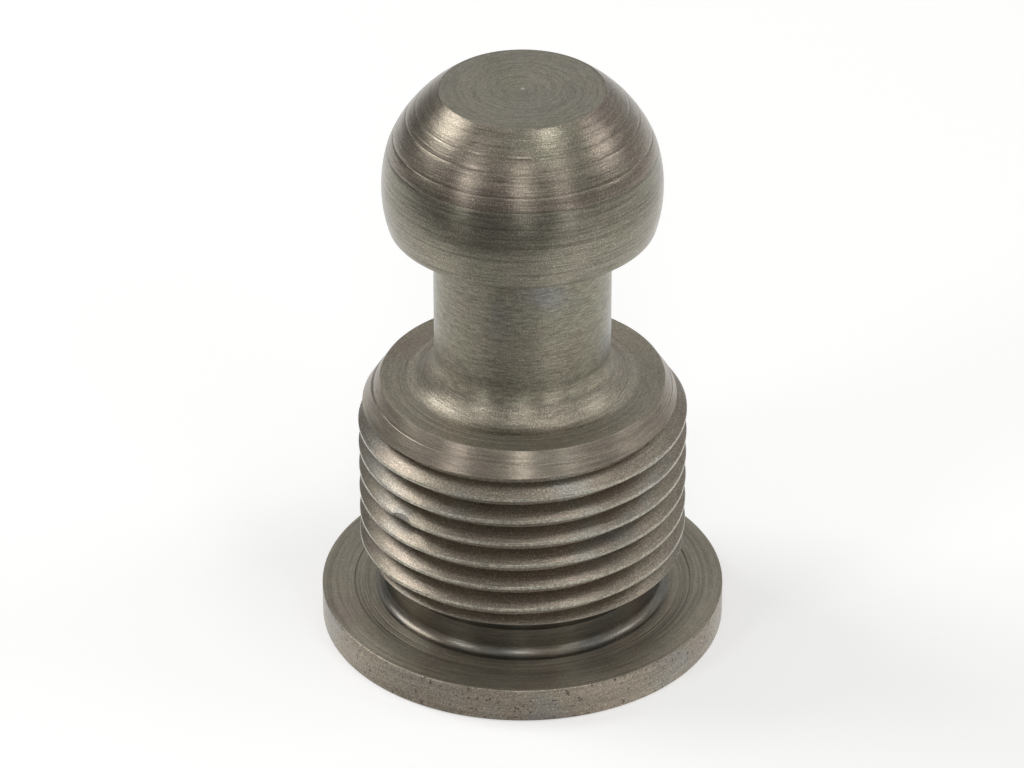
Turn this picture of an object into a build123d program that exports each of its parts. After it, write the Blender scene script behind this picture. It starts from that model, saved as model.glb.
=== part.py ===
from build123d import *
from math import asin, cos, degrees, hypot, radians, sin, sqrt, tan
import os

# A ball-headed pivot stud, turned from one piece of bar. From the bottom up it has a thin round
# flange, a thread relief, a fine right-hand thread, a bevelled shoulder, a neck and a ball with a
# flat on top. The grooves of the thread are too fine for this model, so the threaded stretch is the
# blank that the thread is cut in, at the diameter over the crests. Millimetres and degrees. The
# origin is the centre of the flange's underside, and +Z runs up the axis through the ball.

# Flange, with a seat on top that stands a little proud of the face round the relief
flange_diameter = 23.7
flange_thickness = 2.1
flange_edge_break = 0.1
seat_inner_diameter = 19.9
seat_height = 0.05

# Relief between the flange and the thread
relief_diameter = 16.2
relief_width = 3.1
relief_fillet = 0.6
relief_bevel_angle = 45.0

# Thread, over its crests
thread_diameter = 19.1
thread_length = 10.9

# Shoulder at the top of the thread
shoulder_diameter = 16.5
shoulder_bevel_height = 2.0

# Neck. Its fillet is cut short by the shoulder, so it sweeps less than a quarter of a circle.
neck_diameter = 10.2
neck_length = 10.3
neck_fillet = 2.5
neck_fillet_sweep = 58.0

# Ball, its flatter crown and the flat on top. Heights are from the ball's centre.
ball_diameter = 16.0
ball_underside_depth = 2.35
ball_edge_break = 0.2
crown_start_height = 2.6
flat_diameter = 9.4
flat_height = 6.1

# Heights along the axis
seat_floor = flange_thickness - seat_height
thread_bottom = flange_thickness + relief_width
shoulder_top = thread_bottom + thread_length
ball_underside = shoulder_top + neck_length
ball_centre = ball_underside + ball_underside_depth
ball_top = ball_centre + flat_height

# Radii about the axis
flange_radius = flange_diameter / 2
seat_inner_radius = seat_inner_diameter / 2
relief_radius = relief_diameter / 2
thread_radius = thread_diameter / 2
shoulder_radius = shoulder_diameter / 2
neck_radius = neck_diameter / 2
ball_radius = ball_diameter / 2
flat_radius = flat_diameter / 2


def flange_outline():
    """Underside, rim with both corners broken, seat, and the face that runs in to the relief."""
    return Polyline(
        (0, 0),
        (flange_radius - flange_edge_break, 0),
        (flange_radius, flange_edge_break),
        (flange_radius, flange_thickness - flange_edge_break),
        (flange_radius - flange_edge_break, flange_thickness),
        (seat_inner_radius, flange_thickness),
        (seat_inner_radius, seat_floor),
        (relief_radius + relief_fillet, seat_floor),
    )


def relief_outline():
    """Fillet at the flange, straight wall, and the bevel that leads in to the thread."""
    centre = (relief_radius + relief_fillet, seat_floor + relief_fillet)
    fillet_arc = CenterArc(centre, relief_fillet, 270, -90)
    bevel_height = (thread_radius - relief_radius) * tan(radians(relief_bevel_angle))
    return fillet_arc + Polyline(
        fillet_arc @ 1,
        (relief_radius, thread_bottom - bevel_height),
        (thread_radius, thread_bottom),
    )


def thread_outline():
    """Threaded stretch, shoulder bevel and the flat land that runs in to the neck fillet."""
    land_inner = neck_radius + neck_fillet * (1 - cos(radians(neck_fillet_sweep)))
    return Polyline(
        (thread_radius, thread_bottom),
        (thread_radius, shoulder_top - shoulder_bevel_height),
        (shoulder_radius, shoulder_top),
        (land_inner, shoulder_top),
    )


def neck_outline():
    """Large fillet off the shoulder, then the straight neck up to the ball's underside."""
    centre = (neck_radius + neck_fillet, shoulder_top + neck_fillet * sin(radians(neck_fillet_sweep)))
    fillet_arc = CenterArc(centre, neck_fillet, 180 + neck_fillet_sweep, -neck_fillet_sweep)
    return fillet_arc + Line(fillet_arc @ 1, (neck_radius, ball_underside))


def crown_outline(start):
    """Arc from the ball to the edge of the flat, about the one point of the axis that fits both."""
    rise = ball_top - start.Y
    centre_height = (start.Y + ball_top + (flat_radius**2 - start.X**2) / rise) / 2
    crown_radius = hypot(flat_radius, ball_top - centre_height)
    start_angle = degrees(asin((start.Y - centre_height) / crown_radius))
    end_angle = degrees(asin((ball_top - centre_height) / crown_radius))
    return CenterArc((0, centre_height), crown_radius, start_angle, end_angle - start_angle)


def ball_outline():
    """Flat underside with its corner broken, ball, crown and the flat on top."""
    edge_radius = sqrt(ball_radius**2 - ball_underside_depth**2)
    edge_break_depth = ball_underside_depth - ball_edge_break
    start_angle = -degrees(asin(edge_break_depth / ball_radius))
    end_angle = degrees(asin(crown_start_height / ball_radius))
    ball_arc = CenterArc((0, ball_centre), ball_radius, start_angle, end_angle - start_angle)
    underside = Polyline(
        (neck_radius, ball_underside),
        (edge_radius - ball_edge_break, ball_underside),
        ball_arc @ 0,
    )
    crown_arc = crown_outline(ball_arc @ 1)
    return underside + ball_arc + crown_arc + Line(crown_arc @ 1, (0, ball_top))


def pivot_stud():
    """The whole stud: half its section, turned about the axis."""
    outline = flange_outline() + relief_outline() + thread_outline() + neck_outline() + ball_outline()
    axis_line = Line((0, ball_top), (0, 0))
    return revolve(Plane.XZ * make_face((outline + axis_line).edges()), Axis.Z)


os.makedirs("parts", exist_ok=True)
export_step(pivot_stud(), "parts/pivot_stud.step")
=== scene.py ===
"""Dresses the turned pivot stud: its cut thread, turning marks and steel, and a plain studio."""

import logging
import math
from dataclasses import dataclass, field, replace
from enum import Enum

import bpy
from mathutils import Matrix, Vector


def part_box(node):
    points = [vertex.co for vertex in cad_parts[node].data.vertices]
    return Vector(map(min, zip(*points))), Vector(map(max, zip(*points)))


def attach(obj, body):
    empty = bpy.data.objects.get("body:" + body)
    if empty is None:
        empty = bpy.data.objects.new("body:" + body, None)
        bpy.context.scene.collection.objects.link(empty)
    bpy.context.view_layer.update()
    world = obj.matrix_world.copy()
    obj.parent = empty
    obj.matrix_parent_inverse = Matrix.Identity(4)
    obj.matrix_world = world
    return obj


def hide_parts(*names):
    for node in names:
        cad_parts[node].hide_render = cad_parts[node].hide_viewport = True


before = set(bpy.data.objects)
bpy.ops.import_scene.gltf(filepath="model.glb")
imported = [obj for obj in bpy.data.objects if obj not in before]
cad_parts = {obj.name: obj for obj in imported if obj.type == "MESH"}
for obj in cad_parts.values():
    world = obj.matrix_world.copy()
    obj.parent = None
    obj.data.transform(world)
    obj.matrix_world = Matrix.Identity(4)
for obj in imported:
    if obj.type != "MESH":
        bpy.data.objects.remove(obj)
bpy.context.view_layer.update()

NODE = "pivot_stud"
MM = 0.001
PHOTO_WIDTH = 1024
OUTLINE_WELD = 1e-5
SURFACE_WELD = 1e-4
WHITE = (1.0, 1.0, 1.0, 1.0)

Point = tuple[float, float]
Range = tuple[float, float]
Colour = tuple[float, float, float]
Piece = bpy.types.Object
Tree = bpy.types.NodeTree
Node = bpy.types.Node
Socket = bpy.types.NodeSocket
Sockets = bpy.types.bpy_prop_collection
Number = Socket | float
Source = Socket | float | tuple

LOG = logging.getLogger("pivot_stud")


def deselect_all() -> None:
    """Leave edit mode and clear the selection, so that an operator acts on one piece alone."""
    if bpy.context.mode != "OBJECT":
        bpy.ops.object.mode_set(mode="OBJECT")
    bpy.ops.object.select_all(action="DESELECT")


def make_active(piece: Piece) -> None:
    """Select one piece and make it the active one.

    Args:
        piece: The object that the next operators act on.
    """
    deselect_all()
    piece.select_set(True)
    bpy.context.view_layer.objects.active = piece


def apply_modifier(piece: Piece, modifier: bpy.types.Modifier) -> None:
    """Make one modifier of a piece part of its mesh."""
    make_active(piece)
    bpy.ops.object.modifier_apply(modifier=modifier.name)


def weld(distance: float) -> None:
    """Merge doubled points of the piece in edit mode, and turn its faces outwards.

    Args:
        distance: Points nearer than this become one, in mm.
    """
    bpy.ops.mesh.select_all(action="SELECT")
    bpy.ops.mesh.remove_doubles(threshold=distance)
    bpy.ops.mesh.normals_make_consistent(inside=False)


class OutlinePen:
    """Draws an outline as a chain of vertices in the plane of X (radius) and Z (height), in mm."""

    def __init__(self, name: str, radius: float, height: float) -> None:
        """Put down the first point.

        Args:
            name: Name of the new object.
            radius: Distance of the first point from the axis.
            height: Height of the first point.
        """
        deselect_all()
        bpy.ops.mesh.primitive_plane_add(size=1.0, location=(radius, 0.0, height))
        self.piece = bpy.context.object
        self.piece.name = name
        self.piece.data.name = name
        bpy.ops.object.transform_apply(location=True)
        bpy.ops.object.mode_set(mode="EDIT")
        bpy.ops.mesh.select_mode(type="VERT")
        bpy.ops.mesh.select_all(action="SELECT")
        bpy.ops.mesh.merge(type="CENTER")
        self.radius = radius
        self.height = height

    def line_to(self, radius: float, height: float) -> None:
        """Extrude the last point in a straight line.

        Args:
            radius: Distance of the new point from the axis.
            height: Height of the new point.
        """
        step = (radius - self.radius, 0.0, height - self.height)
        bpy.ops.mesh.extrude_region_move(TRANSFORM_OT_translate={"value": step})
        self.radius, self.height = radius, height

    def arc(self, centre: Point, sweep: float, steps: int) -> None:
        """Spin the last point round a centre.

        Args:
            centre: Radius and height of the arc's centre.
            sweep: Degrees to turn, positive from the axis outwards and up.
            steps: Number of segments.
        """
        bpy.ops.mesh.spin(
            steps=steps,
            angle=math.radians(abs(sweep)),
            use_auto_merge=False,
            center=(centre[0], 0.0, centre[1]),
            axis=(0.0, math.copysign(1.0, sweep), 0.0),
        )
        turn = math.radians(sweep)
        across, up = self.radius - centre[0], self.height - centre[1]
        self.radius = centre[0] + across * math.cos(turn) - up * math.sin(turn)
        self.height = centre[1] + across * math.sin(turn) + up * math.cos(turn)

    def round_corner(self, corner: Point, after: Point, radius: float, steps: int = 4) -> None:
        """Draw a straight line and round the corner at its end.

        Args:
            corner: Where the two straight lines would meet.
            after: A point of the line that follows.
            radius: Radius of the rounding.
            steps: Number of segments in the rounding.
        """
        along = (Vector(corner) - Vector((self.radius, self.height))).normalized()
        onward = (Vector(after) - Vector(corner)).normalized()
        turn = math.atan2(along.x * onward.y - along.y * onward.x, along.dot(onward))
        start = Vector(corner) - along * radius * math.tan(abs(turn) / 2)
        centre = start + Vector((-along.y, along.x)) * math.copysign(radius, turn)
        self.line_to(start.x, start.y)
        self.arc((centre.x, centre.y), math.degrees(turn), steps)

    def arc_to(self, end: Point, sweep: float, steps: int) -> None:
        """Draw an arc of a given sweep to a point.

        Args:
            end: Radius and height of the arc's end.
            sweep: Degrees that the arc turns, anticlockwise.
            steps: Number of segments.
        """
        start = Vector((self.radius, self.height))
        chord = Vector(end) - start
        half = math.radians(sweep) / 2
        centre = start + chord / 2 + Vector((-chord.y, chord.x)) / (2 * math.tan(half))
        self.arc((centre.x, centre.y), sweep, steps)

    def finish(self) -> Piece:
        """Merge doubled points and leave edit mode.

        Returns:
            The drawn object.
        """
        bpy.ops.mesh.select_all(action="SELECT")
        bpy.ops.mesh.remove_doubles(threshold=OUTLINE_WELD)
        bpy.ops.object.mode_set(mode="OBJECT")
        return self.piece


@dataclass(frozen=True)
class Ring:
    """A fine ring that the tool left in a face or on the ball. Sizes are in mm."""

    at: float  # radius on a face, or height on the ball
    width: float
    depth: float
    swell: float = 0.0  # degrees by which the band above it is rounder than the ball


@dataclass
class Blank:
    """The stud as turned, before its thread is cut. Sizes are in mm, angles in degrees."""

    flange_radius: float
    height: float
    segments: int = 288
    flange_thickness: float = 2.1
    flange_edge_break: float = 0.1
    seat_inner_radius: float = 9.95
    seat_height: float = 0.05
    seat_edge_round: float = 0.02
    relief_radius: float = 8.1
    relief_width: float = 3.1
    relief_fillet: float = 0.6
    relief_fillet_steps: int = 8
    crest_radius: float = 9.55
    thread_length: float = 10.9
    shoulder_radius: float = 8.25
    shoulder_bevel_height: float = 2.0
    shoulder_edge_round: float = 0.04
    bevel_step_height: float = 15.42
    bevel_step_width: float = 0.035
    bevel_step_slope: float = 30.0
    neck_radius: float = 5.1
    neck_length: float = 10.3
    neck_fillet: float = 2.5
    neck_fillet_sweep: float = 58.0
    neck_fillet_steps: int = 12
    neck_blend_cut: float = 14.0
    neck_blend_steps: int = 8
    ball_radius: float = 8.0
    ball_underside_depth: float = 2.35
    ball_edge_round: float = 0.15
    ball_edge_steps: int = 5
    ball_step: float = 1.5
    crown_start_height: float = 2.6
    flat_radius: float = 4.7
    flat_edge_round: float = 0.12
    flat_edge_steps: int = 2
    pip_radius: float = 0.13
    pip_depth: float = 0.05
    flange_rings: tuple[Ring, ...] = (
        Ring(9.62, 0.06, 0.008),
        Ring(9.45, 0.04, 0.006),
        Ring(9.25, 0.05, 0.007),
    )
    land_rings: tuple[Ring, ...] = (
        Ring(7.55, 0.05, 0.006),
        Ring(7.10, 0.05, 0.008),
        Ring(6.85, 0.04, 0.004),
    )
    ball_rings: tuple[Ring, ...] = (
        Ring(31.15, 0.05, 0.008, 0.6),
        Ring(31.90, 0.05, 0.010, 0.6),
        Ring(33.05, 0.06, 0.011, 0.4),
        Ring(33.72, 0.04, 0.006, 0.4),
    )
    pen: OutlinePen = field(init=False)
    seat_floor: float = field(init=False)
    thread_bottom: float = field(init=False)
    shoulder_top: float = field(init=False)
    bevel_bottom: float = field(init=False)
    ball_underside: float = field(init=False)
    ball_centre: float = field(init=False)

    def __post_init__(self) -> None:
        """Work out the heights that follow from the sizes."""
        self.seat_floor = self.flange_thickness - self.seat_height
        self.thread_bottom = self.flange_thickness + self.relief_width
        self.shoulder_top = self.thread_bottom + self.thread_length
        self.bevel_bottom = self.shoulder_top - self.shoulder_bevel_height
        self.ball_underside = self.shoulder_top + self.neck_length
        self.ball_centre = self.ball_underside + self.ball_underside_depth

    def draw_face_rings(self, rings: tuple[Ring, ...]) -> None:
        """Draw fine rings in a flat face, from the outside in.

        Args:
            rings: The rings, from the outside in.
        """
        pen, face = self.pen, self.pen.height
        for ring in rings:
            pen.line_to(ring.at + ring.width / 2, face)
            pen.line_to(ring.at, face - ring.depth)
            pen.line_to(ring.at - ring.width / 2, face)

    def draw_flange(self) -> None:
        """Draw the underside, rim, seat and inner face."""
        pen = self.pen
        rim, top, step = self.flange_radius, self.flange_thickness, self.seat_inner_radius
        pen.round_corner((rim, 0.0), (rim, top), self.flange_edge_break)
        pen.round_corner((rim, top), (step, top), self.flange_edge_break)
        foot = (step - self.seat_height, self.seat_floor)
        pen.round_corner((step, top), foot, self.seat_edge_round)
        pen.line_to(*foot)
        self.draw_face_rings(self.flange_rings)

    def draw_relief(self) -> None:
        """Draw the fillet at the flange, the wall and the bevel that leads in to the thread."""
        pen = self.pen
        foot = (self.relief_radius, self.seat_floor)
        wall_top = (self.relief_radius, self.thread_bottom - self.crest_radius + self.relief_radius)
        pen.round_corner(foot, wall_top, self.relief_fillet, self.relief_fillet_steps)
        pen.line_to(*wall_top)
        pen.line_to(self.crest_radius, self.thread_bottom)

    def bevel_radius(self, height: float) -> float:
        """Return the radius of the shoulder's bevel at a height."""
        slope = (self.crest_radius - self.shoulder_radius) / self.shoulder_bevel_height
        return self.crest_radius - (height - self.bevel_bottom) * slope

    def draw_shoulder(self) -> None:
        """Draw the threaded stretch, the bevel with a fine step in it, and the land."""
        pen = self.pen
        corner = (self.shoulder_radius, self.shoulder_top)
        step_radius = self.bevel_radius(self.bevel_step_height)
        step_rise = self.bevel_step_width * math.tan(math.radians(self.bevel_step_slope))
        pen.line_to(self.crest_radius, self.bevel_bottom)
        pen.line_to(step_radius, self.bevel_step_height)
        pen.line_to(step_radius - self.bevel_step_width, self.bevel_step_height + step_rise)
        pen.round_corner(corner, (0.0, self.shoulder_top), self.shoulder_edge_round)
        self.draw_face_rings(self.land_rings)

    def draw_neck(self) -> None:
        """Draw the blend off the shoulder, the fillet and the straight neck."""
        pen = self.pen
        sweep = math.radians(self.neck_fillet_sweep)
        rise_to_centre = self.neck_fillet * math.sin(sweep)
        centre = (self.neck_radius + self.neck_fillet, self.shoulder_top + rise_to_centre)
        cut = math.radians(self.neck_blend_cut)
        blend_end = (
            centre[0] - self.neck_fillet * math.cos(sweep - cut),
            centre[1] - self.neck_fillet * math.sin(sweep - cut),
        )
        turn = math.pi / 2 - sweep + cut
        rise = blend_end[1] - self.shoulder_top
        blend_start = blend_end[0] + rise / math.tan(turn / 2)
        pen.line_to(blend_start, self.shoulder_top)
        pen.arc_to(blend_end, -math.degrees(turn), self.neck_blend_steps)
        pen.arc(centre, self.neck_blend_cut - self.neck_fillet_sweep, self.neck_fillet_steps)
        pen.line_to(self.neck_radius, self.ball_underside)

    def ball_point(self, height: float, inset: float = 0.0) -> Point:
        """Return a point of the ball or, higher up, of its crown.

        Args:
            height: Height of the point on the surface.
            inset: How far below the surface the point lies.

        Returns:
            Radius and height of the point.
        """
        crown_start = self.ball_centre + self.crown_start_height
        seam = (math.sqrt(self.ball_radius**2 - self.crown_start_height**2), crown_start)
        centre = self.ball_centre
        if height > crown_start:
            lean = (self.flat_radius**2 - seam[0] ** 2) / (self.height - crown_start)
            centre = (crown_start + self.height + lean) / 2
        reach = math.hypot(seam[0], seam[1] - centre)
        angle = math.asin((height - centre) / reach)
        return (reach - inset) * math.cos(angle), centre + (reach - inset) * math.sin(angle)

    def draw_band(self, end: Point, swell: float) -> None:
        """Draw one band of the ball, between two rings.

        Args:
            end: Radius and height of its upper edge.
            swell: Degrees by which the band is rounder than the ball.
        """
        length = math.hypot(end[0] - self.pen.radius, end[1] - self.pen.height)
        sweep = math.degrees(length / self.ball_radius) + swell
        self.pen.arc_to(end, sweep, max(2, round(sweep / self.ball_step)))

    def draw_ball(self) -> None:
        """Draw the underside, the ball, its rings and crown, the flat and the pip at its middle."""
        pen = self.pen
        round_height = self.ball_underside + self.ball_edge_round
        drop = self.ball_centre - round_height
        reach = self.ball_radius - self.ball_edge_round
        contact = math.degrees(math.asin(drop / reach))
        round_centre = (math.sqrt(reach**2 - drop**2), round_height)
        pen.line_to(round_centre[0], self.ball_underside)
        pen.arc(round_centre, 90.0 - contact, self.ball_edge_steps)
        swell = 0.0
        for ring in self.ball_rings:
            lower, upper = ring.at - ring.width / 2, ring.at + ring.width / 2
            self.draw_band(self.ball_point(lower), swell)
            pen.line_to(*self.ball_point(ring.at, ring.depth))
            pen.line_to(*self.ball_point(upper))
            swell = ring.swell
        flat_edge = self.ball_point(self.height - self.flat_edge_round / 2)
        self.draw_band(flat_edge, swell)
        rim, middle = (self.flat_radius, self.height), (0.0, self.height)
        pen.round_corner(rim, middle, self.flat_edge_round / 2, self.flat_edge_steps)
        pen.line_to(self.pip_radius, self.height)
        pen.line_to(0.0, self.height - self.pip_depth)

    def build(self) -> Piece:
        """Draw the outline and turn it about the axis.

        Returns:
            The closed blank, in mm.
        """
        self.pen = OutlinePen("turned_stud", 0.0, 0.0)
        self.draw_flange()
        self.draw_relief()
        self.draw_shoulder()
        self.draw_neck()
        self.draw_ball()
        bpy.ops.mesh.select_all(action="SELECT")
        bpy.ops.mesh.spin(steps=self.segments, angle=math.tau, center=(0, 0, 0), axis=(0, 0, 1))
        weld(SURFACE_WELD)
        return self.pen.finish()


@dataclass
class ThreadGroove:
    """The groove of the right-hand thread, as the shape that is cut away. Sizes are in mm."""

    blank: Blank
    pitch: float = 1.5
    flank_angle: float = 30.0
    depth_in_pitches: float = 0.6134
    crest_in_pitches: float = 0.125
    lip_radius: float = 0.07
    lip_lift: float = 0.004
    lip_short_of_crest: float = 15.0
    lip_steps: int = 3
    height_at_x: float = 13.237
    start_angle: float = 180.0
    start_height: float = 3.4
    turns: int = 9
    clearance: float = 0.35

    def draw_lip(self, pen: OutlinePen, side: int, outwards: bool) -> None:
        """Draw the rounded lip between a flank and the crest.

        Args:
            pen: The pen, on the flank or outside the crest.
            side: 1 for the upper lip, -1 for the lower one.
            outwards: True to draw from the flank to the crest.
        """
        slope = math.radians(self.flank_angle)
        tangent = self.lip_radius * math.tan((math.pi / 2 - slope) / 2)
        centre = (
            self.blank.crest_radius - self.lip_radius + self.lip_lift,
            self.start + side * (self.mouth / 2 + tangent),
        )
        flank_turn = -side * (90.0 - self.flank_angle)
        crest_turn = -side * self.lip_short_of_crest
        first, last = (flank_turn, crest_turn) if outwards else (crest_turn, flank_turn)
        angle = math.radians(first)
        across, up = self.lip_radius * math.cos(angle), self.lip_radius * math.sin(angle)
        pen.line_to(centre[0] + across, centre[1] + up)
        pen.arc(centre, last - first, self.lip_steps)

    @property
    def mouth(self) -> float:
        """Width of the groove at the crests."""
        return self.pitch * (1 - self.crest_in_pitches)

    @property
    def depth(self) -> float:
        """Depth of the groove."""
        return self.pitch * self.depth_in_pitches

    @property
    def half_step(self) -> float:
        """Half of a segment of the blank, so that no edge of the cutter lies on one of its own."""
        return 180.0 / self.blank.segments

    @property
    def start(self) -> float:
        """Work out where the cutter starts.

        Returns:
            Height of the groove's centre there.
        """
        angle = self.start_angle + self.half_step
        height = self.height_at_x + self.pitch * angle / 360.0
        return height - self.pitch * math.ceil((height - self.start_height) / self.pitch - 0.5)

    def build(self) -> Piece:
        """Draw the section and wind it up the axis.

        Returns:
            The closed cutter, in mm.
        """
        root = self.blank.crest_radius - self.depth
        outer = self.blank.crest_radius + self.clearance
        half_root = self.mouth / 2 - self.depth * math.tan(math.radians(self.flank_angle))
        pen = OutlinePen("groove_cutter", root, self.start - half_root)
        pen.line_to(root, self.start + half_root)
        self.draw_lip(pen, 1, outwards=True)
        pen.line_to(outer, pen.height)
        pen.line_to(outer, 2 * self.start - pen.height)
        self.draw_lip(pen, -1, outwards=False)
        pen.line_to(root, self.start - half_root)
        cutter = pen.finish()
        screw = cutter.modifiers.new("wind", "SCREW")
        screw.axis = "Z"
        screw.angle = math.tau
        screw.screw_offset = self.pitch
        screw.iterations = self.turns
        screw.steps = self.blank.segments
        screw.render_steps = self.blank.segments
        apply_modifier(cutter, screw)
        bpy.ops.object.mode_set(mode="EDIT")
        weld(OUTLINE_WELD)
        bpy.ops.mesh.select_all(action="DESELECT")
        bpy.ops.mesh.select_non_manifold(extend=False)
        bpy.ops.mesh.edge_face_add()
        weld(OUTLINE_WELD)
        bpy.ops.object.mode_set(mode="OBJECT")
        cutter.rotation_euler.z = math.radians(self.start_angle + self.half_step)
        make_active(cutter)
        bpy.ops.object.transform_apply(rotation=True)
        return cutter


@dataclass(frozen=True)
class Nick:
    """A small dent in a crest of the thread. Sizes are in mm."""

    azimuth: float  # degrees from the front, positive to the right
    height: float  # height of its middle
    length: float  # half of its length round the thread
    depth: float  # how deep it goes below the crest
    stretch: float = 2.0  # how far the cutter is drawn out sideways
    segments: int = 24  # number of segments round the cutter

    def build(self, crest_radius: float) -> Piece:
        """Add the shape that is cut away: a ball drawn out along the crest.

        Args:
            crest_radius: Radius of the thread over its crests.

        Returns:
            The cutter.
        """
        turn = math.radians(self.azimuth)
        reach = crest_radius + self.length / 2 - self.depth
        deselect_all()
        bpy.ops.mesh.primitive_uv_sphere_add(
            segments=self.segments,
            ring_count=self.segments // 2,
            radius=self.length / 2,
            location=(reach * math.sin(turn), -reach * math.cos(turn), self.height),
            rotation=(0.0, 0.0, turn),
            scale=(self.stretch, 1.0, 1.0),
        )
        cutter = bpy.context.object
        bpy.ops.object.transform_apply(location=True, rotation=True, scale=True)
        return cutter


class Zone(Enum):
    """The stretches of the stud that have a finish of their own."""

    FLANGE = "flange"
    RIM = "rim"
    RELIEF = "relief"
    THREAD = "thread"
    CREST = "crest"
    BEVEL = "bevel"
    LAND = "land"
    SHOULDER = "shoulder"
    NECK = "neck"
    BALL = "ball"
    CROWN = "crown"
    FLAT = "flat"
    PIP = "pip"


class Wiring:
    """Adds and joins nodes in one tree."""

    def __init__(self, tree: Tree) -> None:
        """Keep the tree that the nodes go in."""
        self.tree = tree

    def feed(self, node: Node, sources: dict[str | int, Source]) -> None:
        """Join inputs of a node to other sockets, or set their values.

        Args:
            node: The node that is fed.
            sources: An output socket or a plain value for each input, by its name or number.
        """
        for key, source in sources.items():
            if isinstance(source, Socket):
                self.tree.links.new(source, node.inputs[key])
            else:
                node.inputs[key].default_value = source

    def node(
        self, kind: str, sources: dict[str | int, Source] | None = None, **settings: object
    ) -> Node:
        """Add a node.

        Args:
            kind: The node's type.
            sources: What feeds its inputs.
            settings: Values of the node's own properties.

        Returns:
            The new node.
        """
        made = self.tree.nodes.new(kind)
        for name, value in settings.items():
            setattr(made, name, value)
        self.feed(made, sources or {})
        return made

    def math(
        self, operation: str, first: Number, second: Number = 0.0, third: Number = 0.0
    ) -> Socket:
        """Work out a number from up to three sockets or values."""
        sources = {0: first, 1: second, 2: third}
        return self.node("ShaderNodeMath", sources, operation=operation).outputs[0]

    def vector_math(self, operation: str, sources: dict[str | int, Source]) -> Node:
        """Work out a vector or a number from vectors."""
        return self.node("ShaderNodeVectorMath", sources, operation=operation)

    def mix(self, factor: Number, first: Source, second: Source) -> Socket:
        """Mix two colours, by the share of the second one."""
        sources = {"Factor": factor, 6: first, 7: second}
        return self.node("ShaderNodeMix", sources, data_type="RGBA").outputs[2]

    def blend(self, factor: Number, first: Number, second: Number) -> Socket:
        """Mix two numbers, by the share of the second one."""
        sources = {"Factor": factor, 2: first, 3: second}
        return self.node("ShaderNodeMix", sources, data_type="FLOAT").outputs[0]

    def spread(
        self,
        value: Number,
        low: Number,
        high: Number,
        to_low: float,
        to_high: float,
        course: str = "LINEAR",
    ) -> Socket:
        """Map a value from one range to another, held at both ends."""
        sources = {0: value, 1: low, 2: high, 3: to_low, 4: to_high}
        return self.node("ShaderNodeMapRange", sources, interpolation_type=course).outputs[0]

    def noise(
        self, size: str, place: Socket, scale: Number, detail: float, fourth: Number = 0.0
    ) -> Socket:
        """Add noise of about 0.5 on average, with three or four dimensions."""
        sources = {0: place, 1: fourth, 2: scale, 3: detail}
        return self.node("ShaderNodeTexNoise", sources, noise_dimensions=size).outputs[0]


def add_group(
    name: str, inputs: dict[str, float], numbers: tuple[str, ...], vectors: tuple[str, ...] = ()
) -> tuple[Wiring, Node, Node]:
    """Make a shader node group that reads a vector, still without its inner nodes.

    Args:
        name: Name of the group.
        inputs: Starting value of each number that it reads.
        numbers: Names of the numbers that it puts out.
        vectors: Names of the vectors that it puts out.

    Returns:
        The group's wiring, its input node and its output node.
    """
    group = bpy.data.node_groups.new(name, "ShaderNodeTree")
    add_socket = group.interface.new_socket
    add_socket(name="Vector", in_out="INPUT", socket_type="NodeSocketVector")
    for label, value in inputs.items():
        socket = add_socket(name=label, in_out="INPUT", socket_type="NodeSocketFloat")
        socket.default_value = value
    for labels, kind in ((numbers, "NodeSocketFloat"), (vectors, "NodeSocketVector")):
        for label in labels:
            add_socket(name=label, in_out="OUTPUT", socket_type=kind)
    wiring = Wiring(group)
    return wiring, wiring.node("NodeGroupInput"), wiring.node("NodeGroupOutput")


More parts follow.
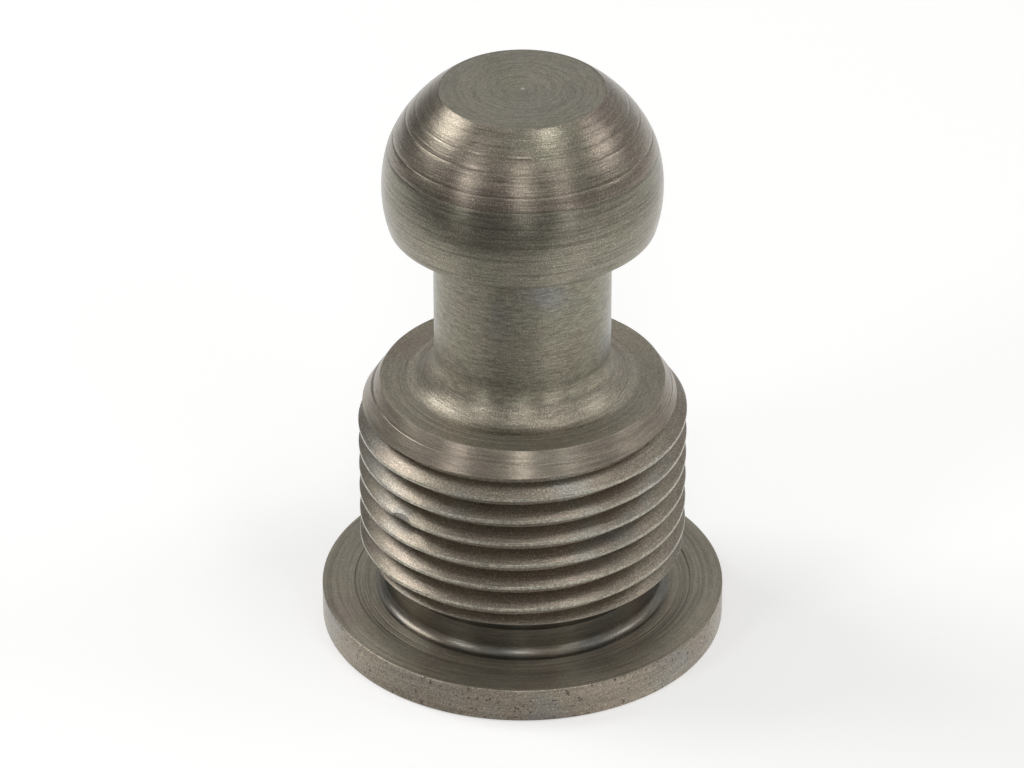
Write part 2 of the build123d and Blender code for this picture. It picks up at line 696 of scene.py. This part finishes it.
class SurfaceEffects:
    """The node groups that the finishes share, each built once.

    least_radius, in mm, keeps a division by the radius from failing on the axis. A range is the
    noise that gives the least and the most of a mark, ring or grain. Each kind of grain has a
    fineness and a detail, and kind_gap keeps their noises apart. pit_edge is the noise at which
    pits start, how far their share lowers it, and how soft they are.
    """

    least_radius: float = 0.001
    rings_per_mark: float = 0.7
    ring_arcs: float = 1.2
    mark_arcs: float = 9.0
    mark_range: Range = (0.32, 0.68)
    ring_range: Range = (0.62, 0.72)
    grain_range: Range = (0.3, 0.7)
    kind_gap: float = 10.0
    grain_kinds: dict[str, tuple[float | None, float]] = {
        "Grain": (None, 1.0),
        "Patches": (0.35, 3.0),
        "Stains": (0.22, 2.0),
    }
    pit_edge: tuple[float, float, float] = (0.78, -0.35, 0.06)
    pit_detail: float = 2.0

    def __init__(self) -> None:
        """Build the groups."""
        self.place = self.build_place()
        self.marks = self.build_marks()
        self.grain = self.build_grain()
        self.pits = self.build_pits()
        self.painted_shading_belt = self.build_painted_shading_belt()

    def build_place(self) -> Tree:
        """Build the group that turns Object coordinates into lathe coordinates, in mm.

        Returns:
            The node group.
        """
        wiring, start, end = add_group(
            "place_on_lathe", {}, ("Radius", "Height", "Across", "Along"), ("Place",)
        )
        sources = {0: start.outputs["Vector"], "Scale": 1.0 / MM}
        place = wiring.vector_math("SCALE", sources).outputs[0]
        axes = wiring.node("ShaderNodeSeparateXYZ", {0: place}).outputs
        squares = [wiring.math("POWER", axes[axis], 2.0) for axis in "XY"]
        radius = wiring.math("SQRT", wiring.math("ADD", *squares))
        off_axis = wiring.math("MAXIMUM", radius, self.least_radius)
        across, along = (wiring.math("DIVIDE", axes[axis], off_axis) for axis in "XY")
        wiring.feed(end, {"Radius": radius, "Height": axes["Z"], "Place": place})
        wiring.feed(end, {"Across": across, "Along": along})
        return wiring.tree

    def place_in(self, wiring: Wiring, start: Node) -> Sockets:
        """Return the lathe coordinates of the vector that a group reads."""
        sources = {"Vector": start.outputs["Vector"]}
        return wiring.node("ShaderNodeGroup", sources, node_tree=self.place).outputs

    def ring_noise(
        self, wiring: Wiring, place: Sockets, fineness: Number, arcs: float
    ) -> Socket:
        """Add noise that is fine across the turning direction and long round it.

        Args:
            wiring: The tree that it is added to.
            place: The lathe coordinates.
            fineness: Changes in a mm across the rings.
            arcs: Changes round the axis.

        Returns:
            The noise, about 0.5 on average.
        """
        sources = {
            "X": wiring.math("MULTIPLY", place["Radius"], fineness),
            "Y": wiring.math("MULTIPLY", place["Height"], fineness),
            "Z": wiring.math("MULTIPLY", place["Across"], arcs),
        }
        at = wiring.node("ShaderNodeCombineXYZ", sources).outputs[0]
        return wiring.noise("4D", at, 1.0, 1.0, wiring.math("MULTIPLY", place["Along"], arcs))

    def build_marks(self) -> Tree:
        """Build the marks that a lathe tool leaves: long rings, and short marks over them.

        Returns:
            The node group.
        """
        wiring, start, end = add_group(
            "turning_marks", {"Marks per mm": 8.0, "Shortness": 0.5}, ("Marks", "Rings")
        )
        place = self.place_in(wiring, start)
        fineness = start.outputs["Marks per mm"]
        ring_fineness = wiring.math("MULTIPLY", fineness, self.rings_per_mark)
        rings = self.ring_noise(wiring, place, ring_fineness, self.ring_arcs)
        short = self.ring_noise(wiring, place, fineness, self.mark_arcs)
        both = wiring.blend(start.outputs["Shortness"], rings, short)
        wiring.feed(end, {"Marks": wiring.spread(both, *self.mark_range, -1.0, 1.0)})
        wiring.feed(end, {"Rings": wiring.spread(rings, *self.ring_range, 0.0, 1.0)})
        return wiring.tree

    def build_grain(self) -> Tree:
        """Build the fine grain of the steel, its slow change of tone, and its stains.

        Returns:
            The node group.
        """
        names = tuple(self.grain_kinds)
        wiring, start, end = add_group("steel_grain", {"Grain per mm": 14.0}, names)
        place = self.place_in(wiring, start)["Place"]
        for index, (name, (per_mm, detail)) in enumerate(self.grain_kinds.items()):
            scale = per_mm or start.outputs["Grain per mm"]
            noise = wiring.noise("4D", place, scale, detail, self.kind_gap * index)
            wiring.feed(end, {name: wiring.spread(noise, *self.grain_range, 0.0, 1.0)})
        return wiring.tree

    def build_pits(self) -> Tree:
        """Build small dark pits, as a mask that is 1 in a pit.

        Returns:
            The node group.
        """
        wiring, start, end = add_group("pits", {"Pits per mm": 4.0, "Share": 0.3}, ("Pits",))
        place = self.place_in(wiring, start)["Place"]
        noise = wiring.noise("3D", place, start.outputs["Pits per mm"], self.pit_detail)
        first, shift, width = self.pit_edge
        edge = wiring.math("MULTIPLY_ADD", start.outputs["Share"], shift, first)
        full = wiring.math("ADD", edge, width)
        wiring.feed(end, {"Pits": wiring.spread(noise, edge, full, 0.0, 1.0, "SMOOTHSTEP")})
        return wiring.tree

    def build_painted_shading_belt(self) -> Tree:
        """Build a belt round the axis with soft edges, as a mask that is 1 in the belt: painted
        shading that makes a band lighter or darker by height.

        Returns:
            The node group.
        """
        sizes = {"Middle": 0.0, "Half width": 1.0, "Fade": 0.5}
        wiring, start, end = add_group("painted_shading_belt", sizes, ("Painted shading",))
        height = self.place_in(wiring, start)["Height"]
        offset = wiring.math("ABSOLUTE", wiring.math("SUBTRACT", height, start.outputs["Middle"]))
        beyond = wiring.math("SUBTRACT", offset, start.outputs["Half width"])
        wiring.feed(end, {"Painted shading": wiring.spread(beyond, 0.0, start.outputs["Fade"], 1.0, 0.0)})
        return wiring.tree


@dataclass(frozen=True)
class SteelFinish:
    """One finish of the steel. Depths are in mm."""

    name: str
    tone: Colour
    patch: Colour  # colour of the slow patches
    stain: Colour  # colour of the stains
    roughness: float = 0.34
    streak: float = 0.7  # how far a highlight is drawn out across the turning marks
    marks_per_mm: float = 9.0
    shortness: float = 0.5  # share of short marks among the long rings, from 0 to 1
    mark_depth: float = 0.003
    mark_tone: float = 0.16  # how much the marks change the colour
    ring_tone: float = 0.2  # how much darker the deepest rings are
    grain_per_mm: float = 14.0
    grain_depth: float = 0.003
    grain_tone: float = 0.15  # how much the grain changes the colour
    pit_share: float = 0.0  # how much of the surface is pitted, from 0 to 1
    # The belt is painted shading: a band by height that its tone makes lighter or darker, standing
    # in for light and shade.
    painted_shading_belt: tuple[float, float, float] = (0.0, 0.0, 1.0)  # middle, half width and fade in mm
    painted_shading_tone: float = 1.0  # brightness of the belt next to the rest
    bright: float = 1.0  # brightness of the whole finish next to its colours
    # painted glints: the grain's peaks are mixed towards a bright glint colour, standing in for
    # light caught by the grain
    painted_glint_share: float = 0.0  # how far the grain's peaks go towards the colour of a glint

    def colour(self, wiring: Wiring, masks: dict[str, Socket]) -> Socket:
        """Mix the base colour.

        Args:
            wiring: The material's tree.
            masks: The outputs of the shared effects, by name.

        Returns:
            The colour.
        """
        stains = wiring.spread(masks["Stains"], *STAIN_RANGE, 0.0, STAIN_SHARE)
        # painted glints in the grain's peaks
        glints = wiring.spread(masks["Grain"], *GLINT_RANGE, 0.0, self.painted_glint_share)
        mixed = (*self.tone, 1.0)
        layers = ((masks["Patches"], self.patch), (stains, self.stain), (glints, GLINT))
        for mask, over in layers:
            mixed = wiring.mix(mask, mixed, (*over, 1.0))
        swing = self.mark_tone * self.bright
        shade = wiring.math("MULTIPLY_ADD", masks["Marks"], swing, self.bright)
        tones = {
            "Grain": (1.0 - self.grain_tone, 1.0 + self.grain_tone),
            "Rings": (1.0, 1.0 - self.ring_tone),
            "Pits": (1.0, PIT_SHADE),
            # painted shading by height
            "Painted shading": (1.0, self.painted_shading_tone),
        }
        for name, ends in tones.items():
            shade = wiring.math("MULTIPLY", shade, wiring.spread(masks[name], 0.0, 1.0, *ends))
        return wiring.vector_math("SCALE", {0: mixed, "Scale": shade}).outputs[0]

    def relief(self, wiring: Wiring, masks: dict[str, Socket]) -> Socket:
        """Bump the surface by its marks, grain and pits, whose depths are in mm.

        Args:
            wiring: The material's tree.
            masks: The outputs of the shared effects, by name.

        Returns:
            The bumped normal.
        """
        height = wiring.math("MULTIPLY", masks["Marks"], self.mark_depth)
        for name, depth in (("Grain", self.grain_depth), ("Pits", -PIT_DEPTH)):
            height = wiring.math("MULTIPLY_ADD", masks[name], depth, height)
        return wiring.node("ShaderNodeBump", {"Height": height, "Distance": MM}).outputs["Normal"]

    def material(self, effects: SurfaceEffects) -> bpy.types.Material:
        """Build the material.

        Args:
            effects: The shared node groups.

        Returns:
            The new material.
        """
        made = bpy.data.materials.new(self.name)
        made.use_nodes = True
        wiring = Wiring(made.node_tree)
        place = wiring.node("ShaderNodeTexCoord").outputs["Object"]
        groups = (
            (effects.marks, {"Marks per mm": self.marks_per_mm, "Shortness": self.shortness}),
            (effects.grain, {"Grain per mm": self.grain_per_mm}),
            (effects.pits, {"Share": self.pit_share}),
            (effects.painted_shading_belt, dict(zip(("Middle", "Half width", "Fade"), self.painted_shading_belt))),
        )
        masks = {}
        for tree, values in groups:
            effect = wiring.node("ShaderNodeGroup", {"Vector": place, **values}, node_tree=tree)
            masks.update(effect.outputs.items())
        ends = (self.roughness - ROUGHNESS_SWING, self.roughness + ROUGHNESS_SWING)
        sources = {
            "Base Color": self.colour(wiring, masks),
            "Roughness": wiring.spread(masks["Patches"], 0.0, 1.0, *ends),
            "Normal": self.relief(wiring, masks),
            "Metallic": 1.0,
            "Anisotropic": self.streak,
            "Anisotropic Rotation": ACROSS_THE_MARKS,
        }
        wiring.feed(made.node_tree.nodes["Principled BSDF"], sources)
        return made


PIT_DEPTH = 0.008
PIT_SHADE = 0.45
STAIN_RANGE = (0.55, 0.9)
STAIN_SHARE = 0.8
GLINT_RANGE = (0.60, 0.95)
ROUGHNESS_SWING = 0.03
ACROSS_THE_MARKS = 0.25

WARM: Colour = (0.206, 0.183, 0.144)
OLIVE: Colour = (0.197, 0.191, 0.144)
BROWN: Colour = (0.195, 0.165, 0.135)
GREY: Colour = (0.215, 0.200, 0.160)
SLATE: Colour = (0.190, 0.190, 0.177)
PALE: Colour = (0.218, 0.206, 0.171)
CLEAR: Colour = (0.520, 0.500, 0.440)
MAUVE: Colour = (0.216, 0.176, 0.151)
# colour of the painted glints in the grain
GLINT: Colour = (0.460, 0.382, 0.295)

# The ball's belt, about 28.5 to 32.3 mm up, is painted shade: that band is 0.88 times as bright as
# the rest.
BALL_STEEL = SteelFinish(
    "ball_steel", OLIVE, GREY, WARM, roughness=0.30, mark_tone=0.34, grain_tone=0.25,
    marks_per_mm=11.0, shortness=0.4, painted_shading_belt=(30.4, 1.0, 0.9), painted_shading_tone=0.88, bright=0.90,
    painted_glint_share=0.3,
)

FINISHES = {
    Zone.FLANGE: SteelFinish(
        "flange_face_steel", WARM, GREY, BROWN, roughness=0.44, shortness=0.3, mark_tone=0.26,
        bright=1.15, painted_glint_share=0.1,
    ),
    Zone.RIM: SteelFinish(
        "rim_steel", WARM, BROWN, SLATE, roughness=0.40, streak=0.6, mark_depth=0.001,
        ring_tone=0.0, grain_per_mm=10.0, grain_depth=0.006, grain_tone=0.22, pit_share=0.45,
        bright=1.2, painted_glint_share=0.2,
    ),
    # The relief's finish is dimmed to 0.80: painted shade in the recess under the thread.
    Zone.RELIEF: SteelFinish(
        "relief_steel_painted_shade", SLATE, WARM, BROWN, roughness=0.29, streak=0.6, mark_tone=0.24,
        mark_depth=0.002, bright=0.80,
    ),
    Zone.THREAD: SteelFinish(
        "thread_steel", BROWN, WARM, SLATE, roughness=0.33, streak=0.4, mark_depth=0.002,
        grain_per_mm=12.0, grain_depth=0.006, grain_tone=0.25, painted_glint_share=0.3,
    ),
    # The crests' pale finish, 1.3 times as bright, is a painted highlight along the thread's
    # crests.
    Zone.CREST: SteelFinish(
        "crest_steel_painted_highlight", PALE, GREY, SLATE, roughness=0.33, streak=0.3, mark_depth=0.001,
        grain_per_mm=7.0, grain_depth=0.004, grain_tone=0.35, bright=1.3, painted_glint_share=0.2,
    ),
    Zone.BEVEL: SteelFinish(
        "bevel_steel", WARM, BROWN, GREY, roughness=0.35, mark_tone=0.26, mark_depth=0.0015,
        grain_depth=0.001, bright=1.12, painted_glint_share=0.15,
    ),
    Zone.LAND: SteelFinish(
        "land_steel", GREY, WARM, BROWN, roughness=0.55, streak=0.4, bright=1.2, grain_tone=0.2,
        painted_glint_share=0.15,
    ),
    Zone.SHOULDER: SteelFinish(
        "shoulder_steel", GREY, WARM, BROWN, roughness=0.38, mark_tone=0.26, mark_depth=0.002,
        ring_tone=0.1, grain_depth=0.005, grain_tone=0.25, bright=1.25, painted_glint_share=0.3,
    ),
    # The neck's belt, from where its finish starts on the upper fillet to about 18.3 mm up, is
    # painted light: 1.42 times as bright.
    Zone.NECK: SteelFinish(
        "neck_steel", OLIVE, WARM, SLATE, roughness=0.37, shortness=0.8, mark_tone=0.26,
        grain_tone=0.25, painted_shading_belt=(17.0, 0.7, 0.6), painted_shading_tone=1.42, painted_glint_share=0.1,
    ),
    Zone.BALL: BALL_STEEL,
    Zone.CROWN: replace(
        BALL_STEEL, name="crown_steel", tone=MAUVE, patch=WARM, stain=OLIVE, bright=0.95
    ),
    Zone.FLAT: SteelFinish(
        "flat_steel", PALE, GREY, OLIVE, roughness=0.42, streak=0.3, mark_depth=0.0015,
        mark_tone=0.24, ring_tone=0.15, grain_per_mm=12.0, grain_tone=0.2, bright=1.06, painted_glint_share=0.1,
    ),
    Zone.PIP: SteelFinish(
        "pip_steel", CLEAR, CLEAR, PALE, roughness=0.25, streak=0.0, mark_depth=0.0
    ),
}


@dataclass
class PivotStud:
    """The one piece of the object: the threaded blank, dressed zone by zone.

    Sizes are in mm, and smooth_below is in degrees. The fields that end in up or ups are upward
    parts of normals, and band is how near a face of the crests or the bevel lies to them.
    """

    blank: Blank
    groove: ThreadGroove
    nicks: tuple[Nick, ...] = (Nick(-46.5, 10.36, 0.9, 0.28),)
    smooth_below: float = 24.0
    ridge_round: float = 0.05
    ridge_steps: int = 3
    ridge_gap: float = 0.02
    ridge_slack: float = 0.01
    ridge_ups: Range = (-0.5, 0.7)
    slack: float = 0.001
    land_depth: float = 0.01
    band: float = 0.04
    neck_start: float = 1.2
    ridge_start: float = 0.5
    ridge_up: float = 0.5
    bevel_up: float = 0.7
    rim_share: float = 0.98
    rim_up: float = 0.9

    def build(self) -> Piece:
        """Cut the thread in the blank and bring it to metres.

        Returns:
            The finished stud, without its materials.
        """
        stud = self.blank.build()
        radius = self.blank.crest_radius
        cutters = [self.groove.build()] + [nick.build(radius) for nick in self.nicks]
        for cutter in cutters:
            cut = stud.modifiers.new("cut", "BOOLEAN")
            cut.operation = "DIFFERENCE"
            cut.solver = "EXACT"
            cut.object = cutter
            apply_modifier(stud, cut)
            bpy.data.objects.remove(cutter)
        make_active(stud)
        bpy.ops.object.mode_set(mode="EDIT")
        weld(SURFACE_WELD)
        self.round_lowest_ridge(stud)
        stud.scale = (MM, MM, MM)
        bpy.ops.object.transform_apply(scale=True)
        bpy.ops.object.shade_smooth_by_angle(angle=math.radians(self.smooth_below))
        return stud

    def round_lowest_ridge(self, stud: Piece) -> None:
        """Round the edge of the lowest ridge, where the groove runs out in the relief's bevel.

        Args:
            stud: The threaded stud in edit mode, in mm.
        """
        sizes = self.blank
        slant = sizes.crest_radius - sizes.thread_bottom
        highest = sizes.thread_bottom - self.ridge_gap
        bpy.ops.mesh.select_mode(type="EDGE")
        bpy.ops.mesh.select_all(action="DESELECT")
        bpy.ops.object.mode_set(mode="OBJECT")
        ups = {}
        for face in stud.data.polygons:
            for key in face.edge_keys:
                ups.setdefault(key, []).append(face.normal.z)
        for edge in stud.data.edges:
            ends = [stud.data.vertices[index].co for index in edge.vertices]
            offs = [abs(math.hypot(end.x, end.y) - end.z - slant) for end in ends]
            on_bevel = max(end.z for end in ends) < highest and max(offs) < self.ridge_slack
            down, up = min(ups[edge.key]), max(ups[edge.key])
            edge.select = on_bevel and down < self.ridge_ups[0] and up > self.ridge_ups[1]
        bpy.ops.object.mode_set(mode="EDIT")
        bpy.ops.mesh.bevel(offset=self.ridge_round, segments=self.ridge_steps, affect="EDGES")
        weld(SURFACE_WELD)
        bpy.ops.object.mode_set(mode="OBJECT")

    def zone_at(self, radius: float, height: float, up: float) -> Zone:
        """Return the zone of a face.

        Args:
            radius: Distance of its middle from the axis, in mm.
            height: Height of its middle, in mm.
            up: Upward part of its normal.

        Returns:
            The first zone, from the top down, that the face fits.
        """
        sizes = self.blank
        land, flange, relief = sizes.shoulder_top, sizes.flange_thickness, sizes.relief_radius
        on_bevel = abs(radius - sizes.bevel_radius(height)) < self.band and 0 < up < self.bevel_up
        threaded = height > sizes.thread_bottom
        zones = (
            (Zone.PIP, height > sizes.ball_centre and radius < sizes.pip_radius),
            (Zone.FLAT, height > sizes.height - self.slack),
            (Zone.CROWN, height > sizes.ball_rings[0].at),
            (Zone.BALL, height > sizes.ball_underside - self.slack),
            (Zone.NECK, height > land + self.neck_start),
            (Zone.SHOULDER, height > land + self.slack),
            (Zone.LAND, height > land - self.land_depth),
            (Zone.BEVEL, height > sizes.bevel_bottom and on_bevel),
            (Zone.CREST, threaded and radius > sizes.crest_radius - self.band),
            (Zone.THREAD, threaded or (height > flange + self.ridge_start and up > self.ridge_up)),
            (Zone.RELIEF, height > flange + self.slack),
            (Zone.RELIEF, height > flange / 2 and radius < relief + sizes.relief_fillet),
            (Zone.RIM, radius > sizes.flange_radius * self.rim_share and abs(up) < self.rim_up),
        )
        return next((zone for zone, fits in zones if fits), Zone.FLANGE)

    def dress(self, stud: Piece, effects: SurfaceEffects) -> None:
        """Give each face the finish of its zone.

        Args:
            stud: The finished mesh, in metres.
            effects: The shared node groups.
        """
        stud.data.materials.clear()
        order = {zone: index for index, zone in enumerate(Zone)}
        for zone in Zone:
            stud.data.materials.append(FINISHES[zone].material(effects))
        for face in stud.data.polygons:
            middle = Vector(face.center) / MM
            zone = self.zone_at(math.hypot(middle.x, middle.y), middle.z, face.normal.z)
            face.material_index = order[zone]


@dataclass(frozen=True)
class Lamp:
    """A soft lamp, seen from the stud."""

    name: str
    azimuth: float  # degrees from the front, positive to the right
    elevation: float  # degrees above the floor
    width: float  # width in degrees
    tall: float  # height in degrees
    glow: float  # brightness of its face, where 1 is white


LAMPS = (
    Lamp("left_lamp", -111.0, 42.0, 28.0, 20.0, 5.5),
    Lamp("left_strip", -51.0, 32.0, 10.0, 16.0, 5.0),
    Lamp("left_low_strip", -48.0, 4.0, 10.0, 18.0, 1.7),
    Lamp("front_strip", 0.0, 38.0, 9.0, 18.0, 5.0),
    Lamp("front_low_strip", 2.0, 8.0, 10.0, 20.0, 1.6),
    Lamp("right_strip", 38.0, 38.0, 10.0, 16.0, 2.0),
    Lamp("right_low_strip", 36.0, 6.0, 12.0, 20.0, 1.8),
    Lamp("top_lamp", 61.0, 70.0, 18.0, 12.0, 4.4),
    Lamp("right_lamp", 95.0, 34.5, 24.0, 16.0, 2.4),
)


@dataclass
class Studio:
    """A pale floor, soft light and the camera. Lengths are in metres, angles in degrees."""

    target_height: float = 0.01547
    distance: float = 0.2928
    elevation: float = 31.645
    lens: float = 177.8
    sensor: float = 36.0
    clip_start: float = 0.01
    clip_end: float = 20.0
    axis_column: float = 522.5
    floor_size: float = 0.8
    floor_front: float = 0.055
    floor_turn: float = 30.0
    floor_drop: float = 0.00002
    paper: Colour = (0.80, 0.80, 0.79)
    paper_roughness: float = 0.9
    paper_specular: float = 0.2
    lamp_distance: float = 0.6
    floor_glow: float = 0.38
    mirrored_glow: float = 0.68
    dim_floor_azimuth: float = -17.0
    dim_floor_range: Range = (0.70, 0.94)
    dim_floor_share: float = 0.25
    fill: float = 0.35
    bright_side: tuple[float, float, float] = (0.14, 0.25, 0.96)
    bright_side_range: Range = (-0.5, 1.0)
    room_range: Range = (0.18, 0.94)
    dim_side: tuple[float, float, float] = (-0.86, 0.50, 0.08)
    dim_side_range: Range = (0.78, 0.97)
    dim_side_share: float = 0.4

    def aim(self, thing: Piece, azimuth: float, elevation: float, distance: float) -> None:
        """Add a camera or lamp to the scene, round the stud and looking at it.

        Args:
            thing: The camera or lamp.
            azimuth: Degrees from the front, positive to the right.
            elevation: Degrees above the floor.
            distance: Distance from the target.
        """
        bpy.context.scene.collection.objects.link(thing)
        turn, rise = math.radians(azimuth), math.radians(elevation)
        level = math.cos(rise)
        away = Vector((math.sin(turn) * level, -math.cos(turn) * level, math.sin(rise)))
        thing.location = Vector((0.0, 0.0, self.target_height)) + away * distance
        thing.rotation_euler = away.to_track_quat("Z", "Y").to_euler()

    def build_camera(self) -> None:
        """Add the camera at the photo's angle."""
        data = bpy.data.cameras.new("camera")
        data.lens = self.lens
        data.sensor_width = self.sensor
        data.shift_x = (PHOTO_WIDTH / 2 - self.axis_column) / PHOTO_WIDTH
        data.clip_start = self.clip_start
        data.clip_end = self.clip_end
        camera = bpy.data.objects.new("camera", data)
        self.aim(camera, 0.0, self.elevation, self.distance)
        bpy.context.scene.camera = camera

    def build_floor(self) -> None:
        """Add the pale floor."""
        deselect_all()
        turn = math.radians(self.floor_turn)
        back = self.floor_size / 2 - self.floor_front
        bpy.ops.mesh.primitive_plane_add(
            size=self.floor_size,
            location=(back * math.sin(turn), back * math.cos(turn), -self.floor_drop),
            rotation=(0.0, 0.0, -turn),
        )
        floor = bpy.context.object
        floor.name = "floor"
        bpy.ops.object.transform_apply(location=True, rotation=True)
        floor.data.materials.append(self.build_paper())

    def build_paper(self) -> bpy.types.Material:
        """Build the floor's paper: it glows for the camera, and in the steel, less at the front.

        Returns:
            The new material.
        """
        made = bpy.data.materials.new("floor_paper")
        made.use_nodes = True
        wiring = Wiring(made.node_tree)
        path = wiring.node("ShaderNodeLightPath").outputs
        seen = wiring.math("MULTIPLY", path["Is Camera Ray"], self.floor_glow)
        place = wiring.node("ShaderNodeTexCoord").outputs["Object"]
        outward = wiring.vector_math("NORMALIZE", {0: place}).outputs[0]
        turn = math.radians(self.dim_floor_azimuth)
        dim_side = (math.sin(turn), -math.cos(turn), 0.0)
        near = wiring.vector_math("DOT_PRODUCT", {0: outward, 1: dim_side}).outputs["Value"]
        ends = (self.mirrored_glow, self.mirrored_glow * self.dim_floor_share)
        mirrored = wiring.spread(near, *self.dim_floor_range, *ends)
        sources = {
            "Base Color": (*self.paper, 1.0),
            "Roughness": self.paper_roughness,
            "Specular IOR Level": self.paper_specular,
            "Emission Color": WHITE,
            "Emission Strength": wiring.math("MULTIPLY_ADD", path["Is Glossy Ray"], mirrored, seen),
        }
        wiring.feed(made.node_tree.nodes["Principled BSDF"], sources)
        return made

    def build_world(self) -> None:
        """Add the surroundings: brightest overhead and behind, dim near the floor in front."""
        world = bpy.data.worlds.new("studio")
        bpy.context.scene.world = world
        world.use_nodes = True
        wiring = Wiring(world.node_tree)
        outward = wiring.node("ShaderNodeTexCoord").outputs["Generated"]
        bright, dim = (
            wiring.vector_math("DOT_PRODUCT", {0: outward, 1: side}).outputs["Value"]
            for side in (self.bright_side, self.dim_side)
        )
        room = wiring.spread(bright, *self.bright_side_range, *self.room_range)
        dimmed = wiring.spread(dim, *self.dim_side_range, 1.0, self.dim_side_share)
        path = wiring.node("ShaderNodeLightPath").outputs
        mirrored = wiring.math("MAXIMUM", path["Is Glossy Ray"], path["Is Transmission Ray"])
        lit = wiring.blend(mirrored, self.fill, wiring.math("MULTIPLY", room, dimmed))
        strength = wiring.math("MAXIMUM", lit, path["Is Camera Ray"])
        wiring.feed(world.node_tree.nodes["Background"], {"Color": WHITE, "Strength": strength})

    def build_lamp(self, card: Lamp) -> None:
        """Add one soft lamp.

        Args:
            card: What the lamp is like.
        """
        data = bpy.data.lights.new(card.name, "AREA")
        data.shape = "RECTANGLE"
        data.size = 2 * self.lamp_distance * math.tan(math.radians(card.width) / 2)
        data.size_y = 2 * self.lamp_distance * math.tan(math.radians(card.tall) / 2)
        data.energy = card.glow * math.pi * data.size * data.size_y
        lamp = bpy.data.objects.new(card.name, data)
        self.aim(lamp, card.azimuth, card.elevation, self.lamp_distance)

    def build(self) -> None:
        """Add everything that isn't the stud."""
        self.build_camera()
        self.build_floor()
        self.build_world()
        for lamp in LAMPS:
            self.build_lamp(lamp)
        bpy.context.scene.view_settings.view_transform = "Standard"


def main() -> None:
    """Build the stud and the studio, and report each piece."""
    logging.basicConfig(level=logging.INFO, format="%(name)s: %(message)s")
    _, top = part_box(NODE)
    blank = Blank(flange_radius=top.x / MM, height=top.z / MM)
    stud = PivotStud(blank, ThreadGroove(blank))
    piece = stud.build()
    stud.dress(piece, SurfaceEffects())
    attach(piece, "root")
    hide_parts(NODE)
    LOG.info("%s has %d faces", piece.name, len(piece.data.polygons))
    Studio().build()
    LOG.info("studio is set")


if __name__ == "__main__":
    main()
